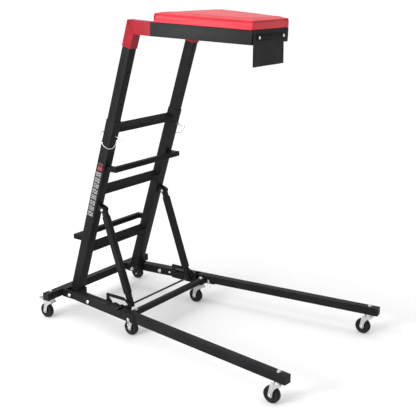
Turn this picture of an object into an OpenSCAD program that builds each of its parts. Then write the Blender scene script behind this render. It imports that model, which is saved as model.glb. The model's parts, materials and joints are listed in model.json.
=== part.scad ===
// Height-adjustable leaning creeper: a rolling base, a ladder that leans forward on two struts,
// and a telescoping upper frame with a padded chest deck. Millimetres, degrees.
// +X points forward along the base legs, +Y to the left, +Z up. The origin is on the floor,
// below the middle of the outline.

/* [Base] */
// Height of the caster mounting plane above the floor
mount_h = 108; // [104:1:112]
// Side of the square tube of the rear crossbar and the front legs
leg_w = 38; // [36:1:38]
// Width of the base rails that the legs fold into
rail_w = 44; // [44:1:50]
// Height of the base rails
rail_h = 42; // [42:1:46]
// Wall of the base rails
rail_wall = 2.5; // [2:0.1:2.5]
// Splay of each rail and leg from straight ahead
splay = 6.85; // [5:0.05:8]
// Distance from the middle plane to a rail's axis where X is 0
rail_y = 337.7; // [335:0.1:345]
// Centre of the rear crossbar
rear_x = -684; // [-688:1:-680]
// Half length of the rear crossbar with its caps
rear_half = 389.5; // [385:0.5:400]
// Front end of a leg, without its cap
front_x = 754; // [650:1:760]
// Place of the hinge that a leg folds about
fold_x = -229; // [-232:1:-226]
// Side of the front crossbar's square tube
cross_w = 25; // [24:1:25]

/* [Casters] */
// Wheel radius
wheel_r = 38; // [36:0.5:38]
// Wheel width
wheel_w = 24; // [20:1:25]
// Distance that the wheel trails behind its swivel axis
trail = 31; // [28:1:32]
// Distance from the middle plane to a rear caster
rear_caster_y = 353; // [340:1:360]
// Distance from the middle plane to a mid caster
mid_caster_y = 262; // [255:1:265]

/* [Ladder] */
// Lean of the ladder from upright
lean = 17.65; // [17:0.05:18]
// Side of the outer uprights
upright_w = 50; // [50:1:52]
// Distance from the middle plane to an upright's axis
upright_y = 229; // [228:0.5:230]
// Length of an upright above its pivot
upright_top = 969; // [940:1:980]
// Side of the inner telescoping tubes
inner_w = 45; // [44:0.5:45]
// Spacing of the height holes
hole_pitch = 157; // [150:1:160]
// Spacing of the rungs along the ladder
rung_pitch = 330; // [320:1:335]

/* [Struts] */
// Side of the strut's square tube
strut_w = 30; // [28:1:30]
// Distance from the middle plane to a strut's axis
strut_y = 231; // [229:0.5:232]
// Radius of the lock rod that drops into the notches
rod_r = 5; // [4.5:0.5:5]
// Spacing of the notches
notch_pitch = 45; // [44:1:46]

/* [Deck] */
// Fall of the deck towards the front
deck_tilt = 3.2; // [2:0.1:4]
// Height of the deck's rails
deck_h = 60; // [58:1:62]
// Width of a deck rail
deck_rail_w = 30; // [26:1:32]
// Thickness of the chest pad over its board
pad_t = 32; // [28:1:36]
// Thickness of the board under the pad
board_t = 9; // [6:1:12]

/* [Hidden] */
$fn = 48;

// Radial gap of a running fit
fit = 0.06;
// Wall of the thinner tubes
wall = 2;
// Overshoot of a cut past the surface it opens
cut = 1;

base_top = mount_h + leg_w;
rail_low = base_top - rail_h;
leg_mid_z = mount_h + leg_w / 2;
rail_rear_x = -578;
rail_front_x = -132;
channel_x = -256;
leg_pin_x = -168;
leg_pin_z = 119;
leg_pin_r = 4.5;
rail_bolt_x = -474;
rail_bolt_z = 122;
tab_bolt_x = -408;
tab_bolt_z = 126;
bolt_r = 5;
cross_x = -192;
cross_low = 112;
front_caster_x = 712;
kingpin_z = 91;
brake_x = -17;
brake_z = 87;

pivot_x = -620;
pivot_z = 120;
cheek_in = 199.5;
cheek_out = 288;
cheek_t = 4;
bracket_front_x = -580;
plate_t = 3;

pin_t = 898;
pin_r = 4.5;
inner_low = 508;
inner_top = 1416;
sleeve_low = 1324;
rung_h = 25;
rung_first = 264;
step_w = 25;

strut_top_x = -407;
strut_top_z = 598;
rod_x = -249;
rod_z = 141;
strut_len = norm([rod_x - strut_top_x, rod_z - strut_top_z]);
strut_lean = atan2(rod_x - strut_top_x, strut_top_z - rod_z);
tongue_w = 24;
plate_y = 258;

deck_x = -204;
deck_z = 1503;
arm_end = 130.2;
deck_end = 583.9;
deck_rear_y = 253;
deck_front_y = 146;
pad_rear = 142.2;
strip_z = 1428;
strip_h = 22;
strip_x = 381.2;
apron_x = 379.4;
apron_t = 1.5;
bolt_y = 97;

// Distance along a rail or leg for a place on the X axis.
function along(x) = x / cos(splay);
// Place on the [X, Z] plane of a point n ahead of the ladder's plane and t up it.
function on_ladder(n, t) = [
    pivot_x + t * sin(lean) + n * cos(lean),
    pivot_z + t * cos(lean) - n * sin(lean)
];
// X of the ladder's plane, n ahead of its middle, at height z.
function ladder_x(n, z) = on_ladder(n, (z - pivot_z + n * sin(lean)) / cos(lean))[0];
// Place on the [X, Z] plane of a point s along the deck and d below its top.
function on_deck(s, d) = [
    deck_x + s * cos(deck_tilt) - d * sin(deck_tilt),
    deck_z - s * sin(deck_tilt) - d * cos(deck_tilt)
];
// How far up the ladder a line n ahead of it meets the plane d below the deck's top.
function meet_t(n, d) = let (k = tan(deck_tilt))
    (deck_z - d / cos(deck_tilt) - (pivot_x + n * cos(lean) - deck_x) * k
        - pivot_z + n * sin(lean)) / (cos(lean) + sin(lean) * k);
// Distance from the middle plane to a deck rail's outer face, s along the deck.
function deck_y(s) = deck_rear_y
    + (deck_front_y - deck_rear_y) * (s - arm_end) / (deck_end - arm_end);

// ---- Placing and plain shapes ----

// The left side's shape, or its mirror image on the right.
module side(s) {
    if (s > 0) {
        children();
    } else {
        mirror([0, 1, 0]) children();
    }
}

module both() {
    side(1) children();
    side(-1) children();
}

// The frame of a left rail: X along it, Y outwards.
module in_rail() {
    translate([0, rail_y, 0]) rotate([0, 0, splay]) children();
}

// The ladder's frame: Z up the ladder from its pivot, X ahead of it.
module in_ladder() {
    translate([pivot_x, 0, pivot_z]) rotate([0, lean, 0]) children();
}

// The strut's frame: its top pivot at the origin and the strut below it.
module in_strut() {
    translate([strut_top_x, 0, strut_top_z]) rotate([0, -strut_lean, 0]) children();
}

// The deck's frame: X forward along it, its top at Z = 0.
module in_deck() {
    translate([deck_x, 0, deck_z]) rotate([0, deck_tilt, 0]) children();
}

module block(low, high) {
    translate(low) cube(high - low);
}

// A round bar along Y from y = a to y = b, through [x, z].
module bar_y(x, z, r, a, b) {
    translate([x, a, z]) rotate([-90, 0, 0]) cylinder(r = r, h = b - a);
}

// A round bar along X from x = a to x = b, through [y, z].
module bar_x(y, z, r, a, b) {
    translate([a, y, z]) rotate([0, 90, 0]) cylinder(r = r, h = b - a);
}

// A six-sided nut along Y.
module nut_y(x, z, r, a, b) {
    translate([x, a, z]) rotate([-90, 0, 0]) cylinder(r = r, h = b - a, $fn = 6);
}

// An outline drawn on [X, Z], as thick as the stretch from y = a to y = b.
module slab_y(a, b) {
    translate([0, b, 0]) rotate([90, 0, 0]) linear_extrude(b - a) children();
}

// A square tube up Z from z = a to z = b.
module tube_z(w, a, b, t = wall) {
    difference() {
        block([-w / 2, -w / 2, a], [w / 2, w / 2, b]);
        block([-w / 2 + t, -w / 2 + t, a - cut], [w / 2 - t, w / 2 - t, b + cut]);
    }
}

// ---- Base ----

module rear_crossbar() {
    half = rear_half - 3;
    color("#1b1c1e") difference() {
        block([rear_x - leg_w / 2, -half, mount_h], [rear_x + leg_w / 2, half, base_top]);
        block([rear_x - leg_w / 2 + wall, -half - cut, mount_h + wall],
            [rear_x + leg_w / 2 - wall, half + cut, base_top - wall]);
        both() translate([rear_x - 1, rear_caster_y, 0]) cylinder(r = bolt_r, h = 200);
    }
}

module crossbar_caps() {
    half = rear_half - 3;
    color("#121314") both() {
        block([rear_x - leg_w / 2 - 0.4, half, mount_h - 0.4],
            [rear_x + leg_w / 2 + 0.4, rear_half, base_top + 0.4]);
        block([rear_x - leg_w / 2 + wall, half - 16, mount_h + wall],
            [rear_x + leg_w / 2 - wall, half, base_top - wall]);
    }
}

// The pocket that holds the ladder's foot, with the spigot that the rail slides onto.
module rear_bracket() {
    rear = rear_x + leg_w / 2;
    spigot_w = rail_w - 2 * rail_wall - 0.6;
    spigot_h = rail_h - 2 * rail_wall - 0.6;
    spigot_z = rail_low + rail_h / 2;
    color("#1b1c1e") difference() {
        union() {
            block([rear, cheek_in, rail_low], [rear + plate_t, cheek_out, base_top]);
            block([rear, cheek_in, rail_low], [bracket_front_x, cheek_in + cheek_t, base_top]);
            block([rear, cheek_out - cheek_t, rail_low], [bracket_front_x, cheek_out, base_top]);
            block([bracket_front_x - plate_t, cheek_in, rail_low],
                [bracket_front_x, cheek_out, base_top]);
            block([rear, cheek_in, base_top - plate_t], [rear + 17, cheek_out, base_top]);
            in_rail() block([along(bracket_front_x) - 1, -spigot_w / 2, spigot_z - spigot_h / 2],
                [along(-450), spigot_w / 2, spigot_z + spigot_h / 2]);
        }
        in_rail() block([along(bracket_front_x) + 4, -spigot_w / 2 + 3, spigot_z - spigot_h / 2 + 3],
            [along(-450) + cut, spigot_w / 2 - 3, spigot_z + spigot_h / 2 - 3]);
        bar_y(pivot_x, pivot_z, bolt_r, cheek_in - cut, cheek_out + cut);
        in_rail() bar_y(along(rail_bolt_x), rail_bolt_z, bolt_r, -rail_w, rail_w);
    }
}

// A box rail, closed over its rear and open-topped over the folding leg.
module base_rail() {
    in_y = rail_w / 2 - rail_wall;
    color("#1b1c1e") in_rail() difference() {
        block([along(rail_rear_x), -rail_w / 2, rail_low],
            [along(rail_front_x), rail_w / 2, base_top]);
        block([along(rail_rear_x) - cut, -in_y, rail_low + rail_wall],
            [along(rail_front_x) + cut, in_y, base_top - rail_wall]);
        block([along(channel_x), -in_y, mount_h], [along(rail_front_x) + cut, in_y, base_top + cut]);
        bar_y(along(rail_bolt_x), rail_bolt_z, bolt_r, -rail_w, rail_w);
        bar_y(along(tab_bolt_x), tab_bolt_z, 3, -rail_w, 0);
        bar_y(along(fold_x), leg_mid_z, bolt_r, -rail_w, rail_w);
        bar_y(along(leg_pin_x), leg_pin_z, leg_pin_r + fit, -rail_w, rail_w);
    }
}

module front_crossbar() {
    half = 290.4;
    pad_w = 19;
    color("#1b1c1e") difference() {
        union() {
            block([cross_x - cross_w / 2, -half, cross_low],
                [cross_x + cross_w / 2, half, cross_low + cross_w]);
            both() block([cross_x - pad_w, mid_caster_y - pad_w, mount_h],
                [cross_x + pad_w, mid_caster_y + pad_w, cross_low]);
        }
        block([cross_x - cross_w / 2 + wall, -half - cut, cross_low + wall],
            [cross_x + cross_w / 2 - wall, half + cut, cross_low + cross_w - wall]);
        both() translate([cross_x, mid_caster_y, 0]) cylinder(r = bolt_r, h = 200);
    }
}

// Slot with a seat for the lock rod at each end and in the middle, its floor cut in saw teeth.
module notch_slot() {
    seat_r = rod_r + 0.5;
    tip_z = rod_z + 0.4;
    rear_seat = rod_x - 2 * notch_pitch;
    polygon([
        [rear_seat - 30, rod_z + 24], [rod_x - 14, rod_z + 24], [rod_x + seat_r, rod_z + 9],
        [rod_x + seat_r, tip_z], [rear_seat - 10, tip_z]
    ]);
    for (k = [0 : 2]) {
        seat = rod_x - k * notch_pitch;
        translate([seat, rod_z]) circle(r = seat_r);
        polygon([
            [seat + seat_r, tip_z + 1], [seat + seat_r, rod_z], [seat, rod_z],
            [seat - 4, rod_z - 4.6], [seat - (k < 2 ? 24 : 12), tip_z], [seat - 12, tip_z + 1]
        ]);
    }
}

// Upright plate with the notched slot, its foot welded to the rail and its tab bolted to it.
module notch_plate() {
    plate_rear = -384;
    plate_front = -222;
    inner_face = -rail_w / 2;
    foot_y = rail_y + plate_front * tan(splay) - rail_w / 2 / cos(splay);
    rear_y = rail_y + plate_rear * tan(splay) - rail_w / 2 / cos(splay);
    color("#1b1c1e") {
        slab_y(plate_y, plate_y + cheek_t) difference() {
            polygon([
                [plate_rear, rail_low], [plate_rear, 172], [plate_rear + 5, 181],
                [rod_x - 20, 181], [rod_x + 16, 158], [plate_front, 152], [plate_front, rail_low]
            ]);
            notch_slot();
        }
        translate([0, 0, rail_low]) linear_extrude(plate_t) polygon([
            [plate_rear, plate_y + 1], [plate_front, plate_y + 1],
            [plate_front, foot_y], [plate_rear, rear_y]
        ]);
        in_rail() difference() {
            union() {
                block([along(-424), inner_face - 4, mount_h], [along(-380), inner_face, 144]);
                block([along(-392), inner_face - 8.6, mount_h], [along(-380), inner_face, 144]);
            }
            bar_y(along(tab_bolt_x), tab_bolt_z, 3, -40, -10);
        }
    }
}

// Pivot bolts of the ladder, bolts of the rails, fold bolts of the legs and notch plate bolts.
module frame_bolts() {
    out = rail_w / 2;
    color("#c9cbcc") both() {
        bar_y(pivot_x, pivot_z, bolt_r, cheek_in - 10, cheek_out + 3);
        bar_y(pivot_x, pivot_z, 9, cheek_out, cheek_out + 4);
        bar_y(pivot_x, pivot_z, 6.5, cheek_out + 4, cheek_out + 5.5);
        nut_y(pivot_x, pivot_z, 9.2, cheek_in - 8, cheek_in);
        in_rail() {
            bar_y(along(rail_bolt_x), rail_bolt_z, bolt_r, -out - 3, out + 3);
            bar_y(along(rail_bolt_x), rail_bolt_z, 9, out, out + 4);
            bar_y(along(rail_bolt_x), rail_bolt_z, 9.5, -out - 5, -out);
            bar_y(along(fold_x), leg_mid_z, bolt_r, -out - 1, out + 1);
            bar_y(along(fold_x), leg_mid_z, 7.5, out, out + 2.5);
            bar_y(along(fold_x), leg_mid_z, 7.5, -out - 2.5, -out);
            bar_y(along(tab_bolt_x), tab_bolt_z, 3, -out - 6, -out + 8);
            bar_y(along(tab_bolt_x), tab_bolt_z, 5.5, -out - 7.5, -out - 4);
        }
    }
}

// Sleeves that hold the uprights off the outer cheeks.
module pivot_spacers() {
    color("#2a2b2d") both() difference() {
        bar_y(pivot_x, pivot_z, 9, upright_y + upright_w / 2 + 0.3, cheek_out - cheek_t);
        bar_y(pivot_x, pivot_z, bolt_r, upright_y, cheek_out);
    }
}

// Caster stem: kingpin with its rivet head, raceway flange, shank and nut on top of the tube.
module stem(top) {
    cylinder(r = bolt_r, h = top + 4);
    cylinder(r = 8, h = 2.4);
    translate([0, 0, mount_h - kingpin_z - 5.6]) cylinder(r = 18, h = 5.6);
    translate([0, 0, top]) cylinder(r = 9.5, h = 1.5);
    translate([0, 0, top + 1.5]) cylinder(r = 9.2, h = 6, $fn = 6);
    translate([0, 0, top + 4]) cylinder(r1 = 7, r2 = 4, h = 5);
}

module caster_stems() {
    color("#c3c5c6") both() {
        translate([rear_x - 1, rear_caster_y, kingpin_z]) stem(base_top - kingpin_z);
        translate([cross_x, mid_caster_y, kingpin_z]) stem(cross_low + cross_w - kingpin_z);
    }
}

// ---- Folding legs ----

module front_leg() {
    half = leg_w / 2;
    color("#1b1c1e") in_rail() difference() {
        union() {
            block([along(fold_x), -half, mount_h], [along(front_x), half, base_top]);
            bar_y(along(fold_x), leg_mid_z, half, -half, half);
        }
        block([along(fold_x), -half + wall, mount_h + wall],
            [along(front_x) + cut, half - wall, base_top - wall]);
        bar_y(along(fold_x), leg_mid_z, half - wall, -half + wall, half - wall);
        bar_y(along(fold_x), leg_mid_z, bolt_r + fit, -rail_w, rail_w);
        bar_y(along(leg_pin_x), leg_pin_z, leg_pin_r + fit, -rail_w, rail_w);
        translate([along(front_caster_x), 0, 0]) cylinder(r = bolt_r, h = 200);
    }
}

module leg_cap() {
    half = leg_w / 2;
    color("#121314") in_rail() {
        block([along(front_x), -half - 0.5, mount_h - 0.6],
            [along(front_x) + 3, half + 0.5, base_top + 0.5]);
        block([along(front_x) - 16, -half + wall, mount_h + wall],
            [along(front_x), half - wall, base_top - wall]);
    }
}

module leg_stem() {
    color("#c3c5c6") in_rail() translate([along(front_caster_x), 0, kingpin_z])
        stem(base_top - kingpin_z);
}

// Pull pin with a hanging wire ring. The head is on the outward side when out is 1.
module leg_pin(out) {
    face = rail_w / 2;
    deep = rail_wall - 0.2;
    color("#d4d6d8") in_rail() translate([along(leg_pin_x), 0, leg_pin_z])
        rotate([0, 0, out > 0 ? 0 : 180]) {
            bar_y(0, 0, leg_pin_r, face - deep, face + 6.4);
            bar_y(0, 0, 9, face + 0.4, face + 5);
            bar_y(0, 0, leg_pin_r, -face - 9, -face + deep);
            translate([out > 0 ? 7 : -7, face + 5, -19]) rotate([90, 0, 0]) rotate_extrude()
                translate([12, 0]) circle(r = 1.2, $fn = 24);
        }
}

// ---- Ladder ----

module upright() {
    half = upright_w / 2;
    color("#1b1c1e") in_ladder() difference() {
        translate([0, upright_y, 0]) tube_z(upright_w, -20, upright_top);
        bar_y(0, 0, bolt_r + fit, upright_y - half - cut, upright_y + half + cut);
        bar_x(upright_y, pin_t, pin_r + fit, -half - cut, half + cut);
    }
}

module rungs() {
    half = upright_w / 2;
    end = upright_y - half;
    color("#232426") in_ladder() for (k = [0 : 2]) {
        low = rung_first + k * rung_pitch - rung_h / 2;
        difference() {
            block([-half, -end, low], [half, end, low + rung_h]);
            block([-half + wall, -end - cut, low + wall], [half - wall, end + cut, low + rung_h - wall]);
        }
    }
}

// A level step: a bar held off the uprights by two arms with slanted ends.
module step(bar_x0, z, half, n) {
    low = z - step_w / 2;
    high = z + step_w / 2;
    near = n > 0 ? bar_x0 : bar_x0 + step_w;
    block([bar_x0, -half, low], [bar_x0 + step_w, half, high]);
    both() slab_y(half - step_w, half) polygon([
        [near, low], [near, high], [ladder_x(n, high), high], [ladder_x(n, low), low]
    ]);
}

module front_step() {
    color("#232426") step(-336.5, 806, 244, upright_w / 2);
}

module rear_step() {
    color("#232426") step(-608.5, 428, 249, -upright_w / 2);
}

// Clevises on the uprights' front faces that the struts hang from.
module strut_brackets() {
    face = upright_w / 2;
    t = (strut_top_x - pivot_x) * sin(lean) + (strut_top_z - pivot_z) * cos(lean);
    n = (strut_top_x - pivot_x) * cos(lean) - (strut_top_z - pivot_z) * sin(lean);
    ear = tongue_w / 2 + 0.6;
    color("#1b1c1e") both() in_ladder() difference() {
        union() {
            block([face, strut_y - ear - plate_t, t - 21], [face + plate_t, strut_y + ear + plate_t, t + 21]);
            for (y = [strut_y - ear - plate_t, strut_y + ear]) {
                block([face, y, t - 14], [n, y + plate_t, t + 14]);
                bar_y(n, t, 14, y, y + plate_t);
            }
        }
        bar_y(n, t, 4, strut_y - 20, strut_y + 20);
    }
}

module strut_bolts() {
    ear = tongue_w / 2 + 0.6 + plate_t;
    color("#c9cbcc") both() {
        bar_y(strut_top_x, strut_top_z, 4, strut_y - ear - 6, strut_y + ear + 2);
        bar_y(strut_top_x, strut_top_z, 7.5, strut_y + ear, strut_y + ear + 4.5);
        nut_y(strut_top_x, strut_top_z, 7.5, strut_y - ear - 6, strut_y - ear);
    }
}

// ---- Struts ----

module strut() {
    foot = -strut_len;
    color("#1b1c1e") in_strut() translate([0, strut_y, 0]) difference() {
        union() {
            tube_z(strut_w, foot + 58, -35);
            tube_z(tongue_w, foot - 13, foot + 80, 3);
            tube_z(tongue_w, -60, 12, 3);
            for (z = [foot + 58, -38]) {
                difference() {
                    block([-strut_w / 2, -strut_w / 2, z], [strut_w / 2, strut_w / 2, z + 3]);
                    block([-9, -9, z - cut], [9, 9, z + 3 + cut]);
                }
            }
        }
        bar_y(0, foot, rod_r, -20, 20);
        bar_y(0, 0, 4 + fit, -20, 20);
    }
}

// Rod through both struts' feet that locks in the notch plates, with its collars.
module lock_rod() {
    end = 268;
    collar = strut_y + tongue_w / 2;
    color("#232426") {
        bar_y(rod_x, rod_z, rod_r, -end, end);
        both() bar_y(rod_x, rod_z, 9.5, collar, collar + 6);
        both() bar_y(rod_x, rod_z, 8, end - 3, end);
    }
}

// ---- Upper frame ----

module inner_tube() {
    color("#1b1c1e") in_ladder() difference() {
        translate([0, upright_y, 0]) tube_z(inner_w, inner_low, inner_top);
        for (k = [-2 : 2]) {
            bar_x(upright_y, pin_t + k * hole_pitch, pin_r + fit, -inner_w, inner_w);
        }
    }
}

// Outline of the elbow: the sleeve's foot, the outer corner, the arm's end, the inner corner.
module elbow_outline(inset, foot_t, end_s) {
    n = upright_w / 2 - inset;
    polygon([
        on_ladder(-n, foot_t), on_ladder(-n, meet_t(-n, inset)),
        on_deck(end_s, inset), on_deck(end_s, deck_h - inset),
        on_ladder(n, meet_t(n, deck_h - inset)), on_ladder(n, foot_t)
    ]);
}

module elbow() {
    low = upright_y - upright_w / 2;
    high = upright_y + upright_w / 2;
    color("#c8202f") difference() {
        slab_y(low, high) elbow_outline(0, sleeve_low, arm_end);
        slab_y(low + wall, high - wall) elbow_outline(wall, sleeve_low - cut, arm_end - wall);
    }
}

module deck_rail() {
    w = deck_rail_w;
    color("#1b1c1e") in_deck() translate([0, 0, -deck_h]) difference() {
        linear_extrude(deck_h) polygon([
            [arm_end, deck_y(arm_end)], [deck_end, deck_y(deck_end)],
            [deck_end, deck_y(deck_end) - w], [arm_end, deck_y(arm_end) - w]
        ]);
        translate([0, 0, wall]) linear_extrude(deck_h - 2 * wall) polygon([
            [arm_end - cut, deck_y(arm_end - cut) - wall],
            [deck_end - wall, deck_y(deck_end - wall) - wall],
            [deck_end - wall, deck_y(deck_end - wall) - w + wall],
            [arm_end - cut, deck_y(arm_end - cut) - w + wall]
        ]);
    }
}

module deck_front_bar() {
    s = deck_end - deck_rail_w;
    front_y = deck_y(deck_end) - deck_rail_w;
    rear_y = deck_y(s) - deck_rail_w;
    color("#1b1c1e") difference() {
        in_deck() translate([0, 0, -deck_h]) difference() {
            linear_extrude(deck_h) polygon([
                [s, -rear_y], [deck_end, -front_y], [deck_end, front_y], [s, rear_y]
            ]);
            block([s + wall, -200, wall], [deck_end - wall, 200, deck_h - wall]);
        }
        for (y = [-1, 1] * bolt_y) {
            bar_x(y, strip_z + strip_h / 2, 3, 360, 400);
        }
    }
}

// Plan of the deck between its outer faces, drawn in by inset, from the pad's rear edge.
module deck_plan(inset) {
    s0 = pad_rear + inset;
    s1 = deck_end - inset;
    polygon([
        [s0, -deck_y(s0) + inset], [s1, -deck_y(s1) + inset],
        [s1, deck_y(s1) - inset], [s0, deck_y(s0) - inset]
    ]);
}

module deck_board() {
    color("#b58c5a") in_deck() linear_extrude(board_t) deck_plan(6);
}

module pad() {
    color("#e8414f") in_deck() translate([0, 0, board_t]) linear_extrude(pad_t) deck_plan(2);
}

module clamp_strip() {
    color("#232426") difference() {
        block([strip_x, -112, strip_z], [strip_x + 3, 104, strip_z + strip_h]);
        for (y = [-1, 1] * bolt_y) {
            bar_x(y, strip_z + strip_h / 2, 3, 360, 400);
        }
    }
}

module apron() {
    top = strip_z + strip_h;
    color("#26272a") translate([apron_x, 0, 0]) difference() {
        rotate([90, 0, 90]) linear_extrude(apron_t) polygon([
            [-137, top], [-146, top - 130], [102, top - 130], [103, top]
        ]);
        for (y = [-1, 1] * bolt_y) {
            bar_x(y, strip_z + strip_h / 2, 3, -cut, apron_t + cut);
        }
    }
}

module deck_bolts() {
    color("#c9cbcc") for (y = [-1, 1] * bolt_y) {
        bar_x(y, strip_z + strip_h / 2, 3, 368, strip_x + 5);
        bar_x(y, strip_z + strip_h / 2, 6.5, strip_x + 3, strip_x + 6.5);
    }
}

// Pull pin through an upright: its two ends, and the wire bail hung from its rear end past
// the upright's outer face, with its front end free beside the pin's tip.
module height_pin() {
    face = upright_w / 2;
    deep = wall - 0.2;
    loop_r = 50;
    mid_n = 15;
    drop = 12;
    wire_r = 1.6;
    wire_y = upright_y + face + 5;
    color("#d4d6d8") in_ladder() translate([0, 0, pin_t]) {
        bar_x(upright_y, 0, pin_r, -face - 9, -face + deep);
        bar_x(upright_y, 0, 7.5, -face - 12, -face - 8);
        bar_x(upright_y, 0, pin_r, face - deep, face + 45);
        bar_y(mid_n - loop_r, 0, wire_r + 0.5, upright_y, wire_y + wire_r + 0.5);
        for (n = [mid_n - loop_r, mid_n + loop_r]) {
            translate([n, wire_y, -drop - 2]) cylinder(r = wire_r + 0.2, h = drop + 2);
        }
        translate([mid_n, wire_y, -drop]) rotate([90, 180, 0]) rotate_extrude(angle = 180)
            translate([loop_r, 0]) circle(r = wire_r, $fn = 24);
    }
}

// ---- Casters ----

// Puts a caster's shape with its swivel axis at [x, y].
module at_caster(x, y) {
    translate([x, y, 0]) children();
}

function front_y() = rail_y + front_caster_x * tan(splay);

// Stamped fork: raceway cup, bridge and two horn-shaped cheeks raked back to the axle.
module fork() {
    cheek_out_y = wheel_w / 2 + 4.6;
    cheek = 2.2;
    horn_r = 42;
    color("#c3c5c6") difference() {
        union() {
            translate([0, 0, 94]) cylinder(r = 19, h = 7.8);
            block([-20, -cheek_out_y, 94], [18, cheek_out_y, 97]);
            for (y = [-cheek_out_y, cheek_out_y - cheek]) {
                slab_y(y, y + cheek) {
                    polygon(concat(
                        [[18, 97], [-30, 97], [-trail - 11, wheel_r + 2]],
                        [for (a = [180 : -15 : 105]) [22 + horn_r * cos(a), 44 + horn_r * sin(a)]],
                        [[18, 86]]
                    ));
                    translate([-trail, wheel_r]) circle(r = 11);
                }
            }
            bar_y(-trail, wheel_r, 4, -cheek_out_y - 2, cheek_out_y + 2);
            bar_y(-trail, wheel_r, 6.5, cheek_out_y, cheek_out_y + 3.5);
            bar_y(-trail, wheel_r, 6.5, -cheek_out_y - 3.5, -cheek_out_y);
        }
        translate([0, 0, 90]) cylinder(r = bolt_r + fit, h = 20);
    }
}

// Fork with the pin that its brake lever turns on.
module braked_fork() {
    fork();
    color("#c3c5c6") bar_y(brake_x, brake_z, 2.5, -wheel_w / 2 - 4, wheel_w / 2 + 4);
}

module wheel() {
    w = wheel_w / 2;
    color("#1a1b1c") translate([-trail, 0, wheel_r]) rotate([90, 0, 0]) rotate_extrude() polygon([
        [4 + fit, -w], [12, -w], [14, -w + 3], [23, -w + 4], [26, -w + 1], [33, -w],
        [36, -w + 2], [wheel_r, -w + 6], [wheel_r, w - 6], [36, w - 2], [33, w],
        [26, w - 1], [23, w - 4], [14, w - 3], [12, w], [4 + fit, w]
    ]);
}

// Brake lever with its barrel and the shoe over the tread.
module brake() {
    half = wheel_w / 2;
    color("#a9adb1") difference() {
        union() {
            bar_y(brake_x, brake_z, 4.5, -half, half);
            slab_y(-11, 11) polygon([
                [brake_x, 90.5], [-50, 94], [-78, 101.5], [-80, 99], [-50, 91], [-44, 90.2],
                [-42, 80], [-38, 80], [-36, 89], [brake_x, 87.5]
            ]);
        }
        bar_y(brake_x, brake_z, 2.5 + fit, -20, 20);
    }
}

// ---- Nodes ----

rear_crossbar();
crossbar_caps();
side(1) rear_bracket();  // rear_bracket_left
side(-1) rear_bracket();  // rear_bracket_right
side(1) base_rail();  // base_rail_left
side(-1) base_rail();  // base_rail_right
front_crossbar();
side(1) notch_plate();  // notch_plate_left
side(-1) notch_plate();  // notch_plate_right
frame_bolts();
pivot_spacers();
caster_stems();
side(1) front_leg();  // front_leg_left
side(-1) front_leg();  // front_leg_right
side(1) leg_cap();  // leg_cap_left
side(-1) leg_cap();  // leg_cap_right
side(1) leg_stem();  // leg_stem_left
side(-1) leg_stem();  // leg_stem_right
side(1) leg_pin(-1);  // leg_pin_left
side(-1) leg_pin(1);  // leg_pin_right
side(1) upright();  // upright_left
side(-1) upright();  // upright_right
rungs();
front_step();
rear_step();
strut_brackets();
strut_bolts();
side(1) strut();  // strut_left
side(-1) strut();  // strut_right
lock_rod();
side(1) inner_tube();  // inner_tube_left
side(-1) inner_tube();  // inner_tube_right
side(1) elbow();  // elbow_left
side(-1) elbow();  // elbow_right
side(1) deck_rail();  // deck_rail_left
side(-1) deck_rail();  // deck_rail_right
deck_front_bar();
deck_board();
pad();
clamp_strip();
apron();
deck_bolts();
side(1) height_pin();  // height_pin_left
side(-1) height_pin();  // height_pin_right
at_caster(rear_x - 1, rear_caster_y) braked_fork();  // fork_rear_left
at_caster(rear_x - 1, -rear_caster_y) braked_fork();  // fork_rear_right
at_caster(cross_x, mid_caster_y) fork();  // fork_mid_left
at_caster(cross_x, -mid_caster_y) fork();  // fork_mid_right
at_caster(front_caster_x, front_y()) fork();  // fork_front_left
at_caster(front_caster_x, -front_y()) fork();  // fork_front_right
at_caster(rear_x - 1, rear_caster_y) wheel();  // wheel_rear_left
at_caster(rear_x - 1, -rear_caster_y) wheel();  // wheel_rear_right
at_caster(cross_x, mid_caster_y) wheel();  // wheel_mid_left
at_caster(cross_x, -mid_caster_y) wheel();  // wheel_mid_right
at_caster(front_caster_x, front_y()) wheel();  // wheel_front_left
at_caster(front_caster_x, -front_y()) wheel();  // wheel_front_right
at_caster(rear_x - 1, rear_caster_y) brake();  // brake_rear_left
at_caster(rear_x - 1, -rear_caster_y) brake();  // brake_rear_right
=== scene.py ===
import json
import math

import bmesh
import bpy
from mathutils import Matrix, Vector, noise

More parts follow.
